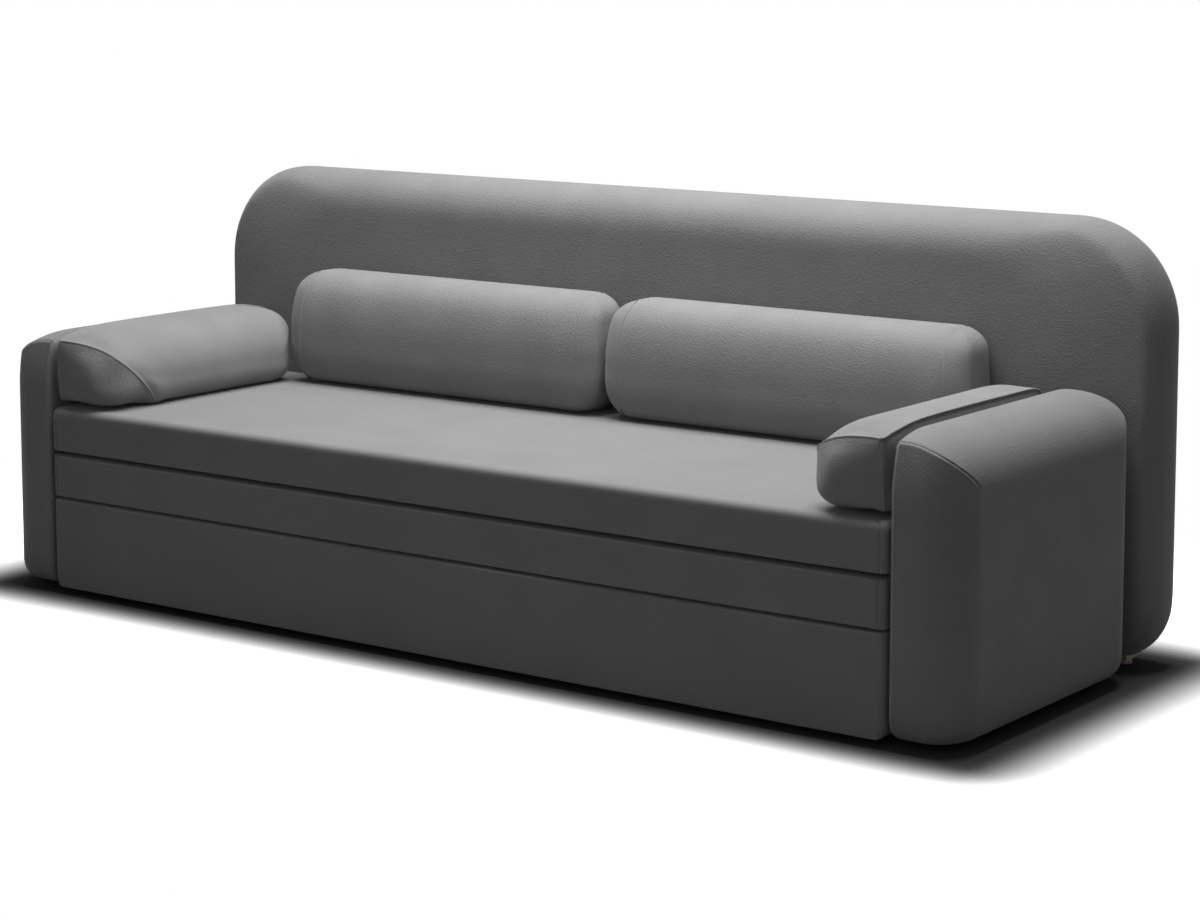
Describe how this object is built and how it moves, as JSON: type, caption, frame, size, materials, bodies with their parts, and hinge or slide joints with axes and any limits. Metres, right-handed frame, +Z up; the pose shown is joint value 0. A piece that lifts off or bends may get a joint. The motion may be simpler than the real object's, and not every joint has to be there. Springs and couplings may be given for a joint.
{
  "type": "sleeper sofa with pull-out bed",
  "caption": "Sleeper sofa with padded arms, a tall rounded backrest, loose back bolsters and arm cushions, and a rolling slatted bed that pulls out from under the seat.",
  "frame": {"origin": "on the floor under the middle of the sofa's width and depth", "axes": "+X to the right of someone facing the sofa, along its length; +Y backwards; +Z up"},
  "size_m": [2.41, 0.89, 0.882],
  "materials": {
    "upholstery": "fine-grained matt charcoal upholstery with thin welts",
    "mattress_fabric": "short-nap matt charcoal fabric",
    "cushion_fabric": "fine-grained matt charcoal fabric",
    "timber": "planed softwood",
    "plywood": "sanded birch plywood",
    "slat_wood": "lacquered beech slats",
    "black_steel": "black powder coat",
    "zinc_steel": "zinc plated",
    "bright_steel": "bright zinc",
    "black_nylon": "moulded nylon",
    "black_rubber": "matt"
  },
  "bodies": {
    "sofa": {"arm_base_left": "plywood", "arm_base_right": "plywood", "arm_bolts": "bright_steel", "arm_cover_left": "upholstery", "arm_cover_right": "upholstery", "arm_frame_left": "timber", "arm_frame_right": "timber", "arm_glides": "black_nylon", "back_cover": "upholstery", "back_frame": "timber", "back_glides": "black_nylon", "guide_channel_left": "black_steel", "guide_channel_right": "black_steel", "guide_stops": "black_steel", "joining_plate_left": "black_steel", "joining_plate_right": "black_steel", "plate_screws": "bright_steel", "seat_front_rail": "black_steel", "seat_ledger_left": "black_steel", "seat_ledger_right": "black_steel", "seat_mattress": "mattress_fabric", "seat_rear_rail": "black_steel", "seat_side_rail_left": "black_steel", "seat_side_rail_right": "black_steel", "seat_slat_holders": "black_nylon", "seat_slats": "slat_wood"},
    "rolling_bed": {"bed_centre_beam": "timber", "bed_corner_brackets": "zinc_steel", "bed_cross_rail_centre": "timber", "bed_cross_rail_left": "timber", "bed_cross_rail_right": "timber", "bed_front_batten": "timber", "bed_front_cover": "upholstery", "bed_front_panel": "plywood", "bed_mattress": "mattress_fabric", "bed_rear_batten": "timber", "bed_rear_rail": "plywood", "bed_side_rail_left": "plywood", "bed_side_rail_right": "plywood", "bed_slats": "slat_wood", "caster_axles": "bright_steel", "caster_fork_front_centre": "zinc_steel", "caster_fork_front_left": "zinc_steel", "caster_fork_front_right": "zinc_steel", "caster_fork_rear_centre": "zinc_steel", "caster_fork_rear_left": "zinc_steel", "caster_fork_rear_right": "zinc_steel", "caster_screws": "bright_steel", "guide_shoes": "black_nylon", "rear_buffers": "black_rubber"},
    "wheel_front_centre": {"wheel_front_centre": "black_nylon"},
    "wheel_front_left": {"wheel_front_left": "black_nylon"},
    "wheel_front_right": {"wheel_front_right": "black_nylon"},
    "wheel_rear_centre": {"wheel_rear_centre": "black_nylon"},
    "wheel_rear_left": {"wheel_rear_left": "black_nylon"},
    "wheel_rear_right": {"wheel_rear_right": "black_nylon"},
    "bolster_left": {"bolster_left": "cushion_fabric"},
    "bolster_right": {"bolster_right": "cushion_fabric"},
    "arm_cushion_left": {"arm_cushion_left": "cushion_fabric"},
    "arm_cushion_right": {"arm_cushion_right": "cushion_fabric"}
  },
  "joints": [
    {"name": "bed_pull_out", "type": "slide", "parent": "sofa", "child": "rolling_bed", "axis": [0, -1, 0], "range_m": [0, 0.597]},
    {"name": "wheel_front_centre_roll", "type": "hinge", "parent": "rolling_bed", "child": "wheel_front_centre", "pos_m": [0, -0.335, 0.025], "axis": [1, 0, 0], "range_deg": [0, 1369]},
    {"name": "wheel_front_left_roll", "type": "hinge", "parent": "rolling_bed", "child": "wheel_front_left", "pos_m": [-0.9, -0.335, 0.025], "axis": [1, 0, 0], "range_deg": [0, 1369]},
    {"name": "wheel_front_right_roll", "type": "hinge", "parent": "rolling_bed", "child": "wheel_front_right", "pos_m": [0.9, -0.335, 0.025], "axis": [1, 0, 0], "range_deg": [0, 1369]},
    {"name": "wheel_rear_centre_roll", "type": "hinge", "parent": "rolling_bed", "child": "wheel_rear_centre", "pos_m": [0, 0.155, 0.025], "axis": [1, 0, 0], "range_deg": [0, 1369]},
    {"name": "wheel_rear_left_roll", "type": "hinge", "parent": "rolling_bed", "child": "wheel_rear_left", "pos_m": [-0.9, 0.155, 0.025], "axis": [1, 0, 0], "range_deg": [0, 1369]},
    {"name": "wheel_rear_right_roll", "type": "hinge", "parent": "rolling_bed", "child": "wheel_rear_right", "pos_m": [0.9, 0.155, 0.025], "axis": [1, 0, 0], "range_deg": [0, 1369]},
    {"name": "bolster_left_lift_off", "type": "slide", "parent": "sofa", "child": "bolster_left", "axis": [0, 0, 1], "range_m": [0, 0.35]},
    {"name": "bolster_right_lift_off", "type": "slide", "parent": "sofa", "child": "bolster_right", "axis": [0, 0, 1], "range_m": [0, 0.35]},
    {"name": "arm_cushion_left_lift_off", "type": "slide", "parent": "sofa", "child": "arm_cushion_left", "axis": [0, 0, 1], "range_m": [0, 0.35]},
    {"name": "arm_cushion_right_lift_off", "type": "slide", "parent": "sofa", "child": "arm_cushion_right", "axis": [0, 0, 1], "range_m": [0, 0.35]}
  ],
  "couplings": [
    {"joint": "wheel_front_centre_roll", "follows": "bed_pull_out", "rad_per_m": 40},
    {"joint": "wheel_front_left_roll", "follows": "bed_pull_out", "rad_per_m": 40},
    {"joint": "wheel_front_right_roll", "follows": "bed_pull_out", "rad_per_m": 40},
    {"joint": "wheel_rear_centre_roll", "follows": "bed_pull_out", "rad_per_m": 40},
    {"joint": "wheel_rear_left_roll", "follows": "bed_pull_out", "rad_per_m": 40},
    {"joint": "wheel_rear_right_roll", "follows": "bed_pull_out", "rad_per_m": 40}
  ]
}
